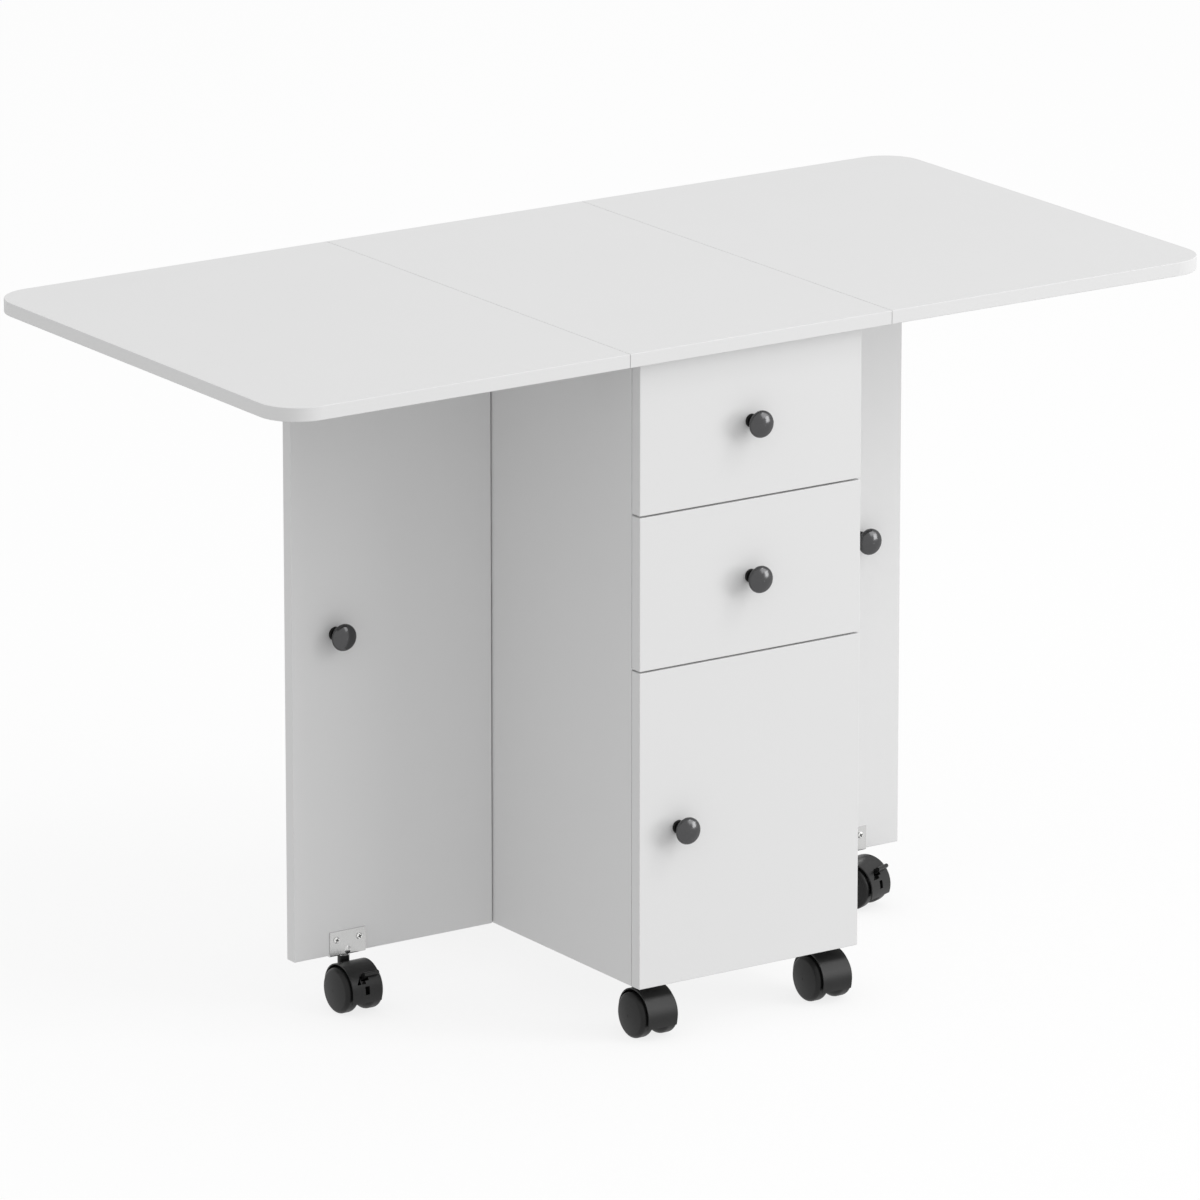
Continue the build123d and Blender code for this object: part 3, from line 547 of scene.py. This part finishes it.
def dress_bracket(side):
    """A plated bracket; its two screw heads take a lighter copy of the zinc, a painted highlight,
    and the cross pressed into each a dark copy, a painted shade in the recess.
    """
    node = f"leg_bracket_{side}"
    stem = joint_place(f"caster_leg_{side}_swivel")
    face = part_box(node)[0].y
    head_foot, cross_mouth = face + BRACKET_SCREW["height"], face + BRACKET_CROSS["below"]
    mesh = dress(node, "zinc_plate", "painted_highlight_zinc", "painted_shade_zinc")
    for sign in (-1, 1):
        across, up = stem.x + sign * BRACKET_SCREW["out"], stem.z + BRACKET_SCREW["up"]

        def away(centre):
            return math.hypot(centre.x - across, centre.z - up)

        def on_head(centre, normal):
            return away(centre) < BRACKET_SCREW["radius"] and centre.y < head_foot

        def in_cross(centre, normal):
            return away(centre) < BRACKET_CROSS["reach"] and centre.y > cross_mouth

        # The heads take the lighter zinc, a painted highlight; the crosses take the dark zinc, a
        # painted shade
        assign(mesh, on_head, 1)
        assign(mesh, in_cross, 2)


dress_boards()
dress_fittings()
for side in ("left", "right"):
    dress_bracket(side)
for knob, board_node in KNOBS.items():
    dress_knob(knob, board_node)
for caster in CASTERS:
    dress_caster(caster)


def ring(mesh, place, radius, height):
    """The corners of a circle about the place's z axis."""
    step = 2 * math.pi / SEGMENTS
    corners = []
    for number in range(SEGMENTS):
        turn = (number - 0.5) * step
        corner = Vector((radius * math.cos(turn), radius * math.sin(turn), height))
        corners.append(mesh.verts.new(place @ corner))
    return corners


def skin(mesh, lower, upper):
    """Faces between two outlines with as many corners."""
    count = len(lower)
    for number in range(count):
        after = (number + 1) % count
        mesh.faces.new((lower[number], lower[after], upper[after], upper[number]))


def turned(mesh, place, outline):
    """Revolves (radius, height) points about the place's z axis; gives the last circle."""
    rings = [ring(mesh, place, radius, height) for radius, height in outline]
    for lower, upper in zip(rings, rings[1:]):
        skin(mesh, lower, upper)
    return rings[-1]


def cross_outline(mesh, place, reach, half, height):
    """The twelve corners of a cross."""
    corners = []
    for quarter in range(4):
        turn = Matrix.Rotation(quarter * math.pi / 2, 4, "Z")
        for x, y in ((reach, -half), (reach, half), (half, half)):
            corners.append(mesh.verts.new(place @ (turn @ Vector((x, y, height)))))
    return corners


def close_with_cross(mesh, place, rim, height, size):
    """Closes a circle with a flat end that has a cross pressed into it."""
    reach, half = size * CROSS_REACH, size * CROSS_HALF_WIDTH
    mouth = cross_outline(mesh, place, reach, half, height)
    end_reach, end_half = CROSS_BOTTOM_REACH * reach, CROSS_BOTTOM_WIDTH * half
    bottom = cross_outline(mesh, place, end_reach, end_half, height - size * CROSS_DEPTH)
    for quarter in range(4):
        start, arm = quarter * SEGMENTS // 4, 3 * quarter
        following = (arm + 3) % 12
        mesh.faces.new((rim[start], rim[start + 1], mouth[arm + 1], mouth[arm]))
        edge = [rim[(start + step) % SEGMENTS] for step in range(1, SEGMENTS // 4 + 1)]
        mesh.faces.new((*edge, mouth[following], mouth[arm + 2], mouth[arm + 1]))
    skin(mesh, mouth, bottom)
    mesh.faces.new(bottom)


def screw_head(mesh, place, radius):
    """A low countersunk head with a cross recess; the place's z points out of the plate."""
    dome = radius * HEAD_DOME
    outline = [
        (radius, -dome), (radius, 0.3 * dome), (0.9 * radius, 0.75 * dome), (0.76 * radius, dome),
    ]
    close_with_cross(mesh, place, turned(mesh, place, outline), dome, radius)


def cam_disc(mesh, place, radius):
    """The face of a cam fitting: a flat disc, a groove round its middle and a cross in it."""
    lip = CAM_LIP
    outline = [
        (radius, -lip), (radius, 0.6 * lip), (radius - 0.4 * lip, lip), (0.72 * radius, lip),
        (0.70 * radius, 0), (0.64 * radius, 0), (0.62 * radius, lip),
    ]
    close_with_cross(mesh, place, turned(mesh, place, outline), lip, CAM_CROSS)


def bumper(mesh, place, radius):
    """A soft dome that keeps a front off the cabinet's edge."""
    height = BUMPER_HEIGHT
    turns = [math.radians(angle) for angle in (0, 25, 50, 70, 85)]
    outline = [(radius * math.cos(t), height * math.sin(t)) for t in turns]
    crown = turned(mesh, place, [(radius, -BUMPER_SUNK), *outline])
    mesh.faces.new(crown)


def facing(origin, out, turn):
    """A place at the origin whose z points out, turned about that z."""
    look = out.to_track_quat("Z", "Y").to_matrix().to_4x4()
    return Matrix.Translation(origin) @ look @ Matrix.Rotation(turn, 4, "Z")


def add_pieces(name, body, material, make, places, radius):
    """One object that holds the same small piece at each place."""
    mesh = bmesh.new()
    for number, (origin, out) in enumerate(places):
        make(mesh, facing(Vector(origin), Vector(out), number * SCREW_TURN), radius)
    bmesh.ops.recalc_face_normals(mesh, faces=mesh.faces)
    data = bpy.data.meshes.new(name)
    mesh.to_mesh(data)
    mesh.free()
    data.polygons.foreach_set("use_smooth", [True] * len(data.polygons))
    data.set_sharp_from_angle(angle=math.radians(SHARP_ANGLE))
    data.materials.append(MATERIALS[material])
    piece = bpy.data.objects.new(name, data)
    bpy.context.scene.collection.objects.link(piece)
    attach(piece, body)


def plate_places(pins, pin_axis, run, out, hinge):
    """Where a hinge plate's screws go. run points from the pin to the plate, out off its face."""
    places = []
    face = hinge["knuckle"] - HINGE_SHEET
    for pin in pins:
        for offset in hinge["screws_along"]:
            place = Vector(pin) + Vector(run) * hinge["screws_out"] + Vector(pin_axis) * offset
            places.append((place - Vector(out) * face, out))
    return places


def add_screws(name, body, places, radius=PLATE_SCREW):
    """One object that holds a plated screw head at each place."""
    add_pieces(name, body, "zinc_plate", screw_head, places, radius)


def add_gate_hinge_screws():
    """Three screws in each plate of the gate legs' hinges."""
    cabinet_places = []
    for side, sign in (("left", -1), ("right", 1)):
        low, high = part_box(f"gate_hinge_plates_{side}")
        axis = joint_place(f"gate_leg_{side}_hinge")
        half = GATE_HINGE["length"] / 2
        heights = (low.z + half, (low.z + high.z) / 2, high.z - half)
        pins = [(axis.x, axis.y, z) for z in heights]
        leg_places = plate_places(pins, (0, 0, 1), (sign, 0, 0), (0, 1, 0), GATE_HINGE)
        add_screws(f"gate_hinge_screws_{side}", f"gate_leg_{side}", leg_places)
        cabinet_places += plate_places(pins, (0, 0, 1), (0, 1, 0), (sign, 0, 0), GATE_HINGE)
    add_screws("gate_hinge_screws_cabinet", "cabinet", cabinet_places)


def add_leaf_hinge_screws():
    """Two screws in each plate of the hinges under the seams."""
    cabinet_places = []
    for side, sign in (("left", -1), ("right", 1)):
        low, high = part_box(f"leaf_hinge_plates_{side}")
        axis = joint_place(f"leaf_{side}_hinge")
        half = LEAF_HINGE["length"] / 2
        pins = [(axis.x, y, axis.z) for y in (low.y + half, high.y - half)]
        leaf_places = plate_places(pins, (0, 1, 0), (sign, 0, 0), (0, 0, -1), LEAF_HINGE)
        add_screws(f"leaf_hinge_screws_{side}", f"leaf_{side}", leaf_places)
        cabinet_places += plate_places(pins, (0, 1, 0), (-sign, 0, 0), (0, 0, -1), LEAF_HINGE)
    add_screws("leaf_hinge_screws_cabinet", "cabinet", cabinet_places)


def add_door_hinge_screws():
    """Two screws in each plate of the door's hinges."""
    low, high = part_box("door_panel")
    axis = joint_place("door_hinge")
    heights = (low.z + DOOR_HINGE_FROM_END, high.z - DOOR_HINGE_FROM_END)
    pins = [(axis.x, axis.y, z) for z in heights]
    door_places = plate_places(pins, (0, 0, 1), (0, -1, 0), (1, 0, 0), DOOR_HINGE)
    add_screws("door_hinge_screws_door", "door", door_places, DOOR_SCREW)
    cabinet_places = plate_places(pins, (0, 0, 1), (0, 1, 0), (1, 0, 0), DOOR_HINGE)
    add_screws("door_hinge_screws_cabinet", "cabinet", cabinet_places, DOOR_SCREW)


def add_runner_screws():
    """Three screws in each runner, on the cabinet's walls and on the drawers' sides."""
    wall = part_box("cabinet_side_right")[0].x - RUNNER_SHEET
    cabinet_places = []
    for drawer in ("drawer_upper", "drawer_lower"):
        low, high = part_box(f"{drawer}_box")
        cabinet_height, drawer_height = low.z + CABINET_RUNNER_SCREW, low.z + DRAWER_RUNNER_SCREW
        front, rear = low.y + RUNNER_SCREW_FROM_END, high.y - RUNNER_SCREW_FROM_END
        drawer_places = []
        for sign in (-1, 1):
            side = sign * (high.x + RUNNER_SHEET)
            for y in (front, (low.y + high.y) / 2, rear):
                cabinet_places.append(((sign * wall, y, cabinet_height), (-sign, 0, 0)))
                drawer_places.append(((side, y, drawer_height), (sign, 0, 0)))
        add_screws(f"runner_screws_{drawer}", drawer, drawer_places)
    add_screws("runner_screws_cabinet", "cabinet", cabinet_places)


def add_catch_screws():
    """The two screws under the magnetic catch."""
    low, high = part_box("door_catch")
    middle_y = (low.y + high.y) / 2
    ends = (low.x + CATCH_SCREW_FROM_END, high.x - CATCH_SCREW_FROM_END)
    places = [((x, middle_y, low.z), (0, 0, -1)) for x in ends]
    add_screws("catch_screws", "cabinet", places, DOOR_SCREW)


def add_cam_locks():
    """The cam fittings that draw the cabinet's sides against its level boards."""
    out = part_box("cabinet_side_right")[0].x - CAM_FROM_SIDE
    insets = {
        "cabinet_bottom": CAM_FROM_EDGE, "cabinet_divider": CAM_FROM_EDGE, "top_rails": CAM_IN_RAIL,
    }
    places = []
    for node, inset in insets.items():
        low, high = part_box(node)
        for y in (low.y + inset, high.y - inset):
            places += [((x, y, low.z), (0, 0, -1)) for x in (-out, out)]
    add_pieces("cam_locks", "cabinet", "zinc_plate", cam_disc, places, CAM_RADIUS)


def add_bumpers():
    """Soft domes behind the drawer fronts' lower corners and the door's free corners."""
    fronts = {
        "drawer_upper_front": "drawer_upper",
        "drawer_lower_front": "drawer_lower",
        "door_panel": "door",
    }
    for node, body in fronts.items():
        low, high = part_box(node)
        left, right = low.x + BUMPER_INSET, high.x - BUMPER_INSET
        lower, upper = low.z + 2 * BUMPER_INSET, high.z - 2 * BUMPER_INSET
        other = (left, upper) if body == "door" else (right, lower)
        places = [((x, high.y, z), (0, 1, 0)) for x, z in ((left, lower), other)]
        add_pieces(
            f"bumpers_{body}", body, "nylon_white", bumper, places, BUMPER_RADIUS
        )


add_gate_hinge_screws()
add_leaf_hinge_screws()
add_door_hinge_screws()
add_runner_screws()
add_catch_screws()
add_cam_locks()
add_bumpers()


def direction(azimuth, elevation):
    """The way to a point at an azimuth to the right of the drawers' side, and an elevation."""
    turn, rise = math.radians(azimuth), math.radians(elevation)
    return Vector(
        (math.sin(turn) * math.cos(rise), -math.cos(turn) * math.cos(rise), math.sin(rise))
    )


def softbox(name, azimuth, elevation, distance, side, white):
    """A square soft lamp that looks at the table."""
    lamp = bpy.data.lights.new(name, "AREA")
    lamp.shape = "SQUARE"
    lamp.size = side
    lamp.energy = white * math.pi * side**2
    light = bpy.data.objects.new(name, lamp)
    bpy.context.scene.collection.objects.link(light)
    away = direction(azimuth, elevation)
    light.location = Vector(CAMERA_AIM) + away * distance
    light.rotation_euler = away.to_track_quat("Z", "Y").to_euler()
    light.visible_camera = False


def seen_ray(tree):
    """1 for rays that the camera, a gloss or a clear material sends."""
    rays = put(tree, "ShaderNodeLightPath").outputs
    seen = math_node(tree, "MAXIMUM", rays["Is Camera Ray"], rays["Is Glossy Ray"])
    return math_node(tree, "MAXIMUM", seen, rays["Is Transmission Ray"])


def make_surround():
    """A surround that looks white and lights the table a little less than that."""
    world = bpy.data.worlds.new("studio")
    bpy.context.scene.world = world
    world.use_nodes = True
    tree = world.node_tree
    tree.nodes.clear()
    strength = math_node(tree, "MULTIPLY_ADD", seen_ray(tree), 1.0 - STUDIO_LIGHT, STUDIO_LIGHT)
    surround = put(tree, "ShaderNodeBackground", {"Color": rgba(WHITE), "Strength": strength})
    put(tree, "ShaderNodeOutputWorld", {"Surface": surround.outputs[0]})


def mix_shaders(tree, share, first, second):
    """A Mix Shader node that takes this share of the second shader."""
    inputs = {0: share, 1: first.outputs[0], 2: second.outputs[0]}
    return put(tree, "ShaderNodeMixShader", inputs)


def floor_material():
    """White with the object's faint shadow to the camera, duller to the object, clear below."""
    material = bpy.data.materials.new("white_floor")
    material.use_nodes = True
    tree = material.node_tree
    tree.nodes.clear()
    tone = (FLOOR_TONE, FLOOR_TONE, FLOOR_TONE)
    matt = put(tree, "ShaderNodeBsdfDiffuse", {"Color": rgba(tone)})
    pale = put(tree, "ShaderNodeEmission", {"Color": rgba(WHITE), "Strength": FLOOR_LIGHT})
    dull = put(tree, "ShaderNodeAddShader", {0: matt.outputs[0], 1: pale.outputs[0]})
    shaded = put(tree, "ShaderNodeBsdfDiffuse", {"Color": rgba(WHITE)})
    glow = put(tree, "ShaderNodeEmission", {"Color": rgba(WHITE), "Strength": 1.0})
    backdrop = mix_shaders(tree, FLOOR_SHADE, glow, shaded)
    upper = mix_shaders(tree, seen_ray(tree), dull, backdrop)
    below = put(tree, "ShaderNodeNewGeometry").outputs["Backfacing"]
    clear = put(tree, "ShaderNodeBsdfTransparent")
    both = mix_shaders(tree, below, upper, clear)
    put(tree, "ShaderNodeOutputMaterial", {"Surface": both.outputs[0]})
    return material


def make_floor():
    """A wide white floor under the casters."""
    corners = [(-1, -1), (1, -1), (1, 1), (-1, 1)]
    mesh = bpy.data.meshes.new("floor")
    mesh.from_pydata(
        [(x * FLOOR_REACH, y * FLOOR_REACH, 0) for x, y in corners], [], [(0, 1, 2, 3)]
    )
    mesh.materials.append(floor_material())
    floor = bpy.data.objects.new("floor", mesh)
    bpy.context.scene.collection.objects.link(floor)


def make_camera():
    """The camera at the photograph's viewing angle."""
    data = bpy.data.cameras.new("camera")
    data.sensor_width = CAMERA_SENSOR
    data.lens = CAMERA_LENS
    camera = bpy.data.objects.new("camera", data)
    bpy.context.scene.collection.objects.link(camera)
    back = direction(-CAMERA_AZIMUTH, CAMERA_ELEVATION)
    camera.location = Vector(CAMERA_AIM) + back * CAMERA_DISTANCE
    camera.rotation_mode = "QUATERNION"
    camera.rotation_quaternion = (-back).to_track_quat("-Z", "Y")
    bpy.context.scene.camera = camera


make_surround()
make_floor()
for name, values in SOFTBOXES.items():
    softbox(name, **values)
make_camera()
bpy.context.scene.view_settings.view_transform = "Standard"
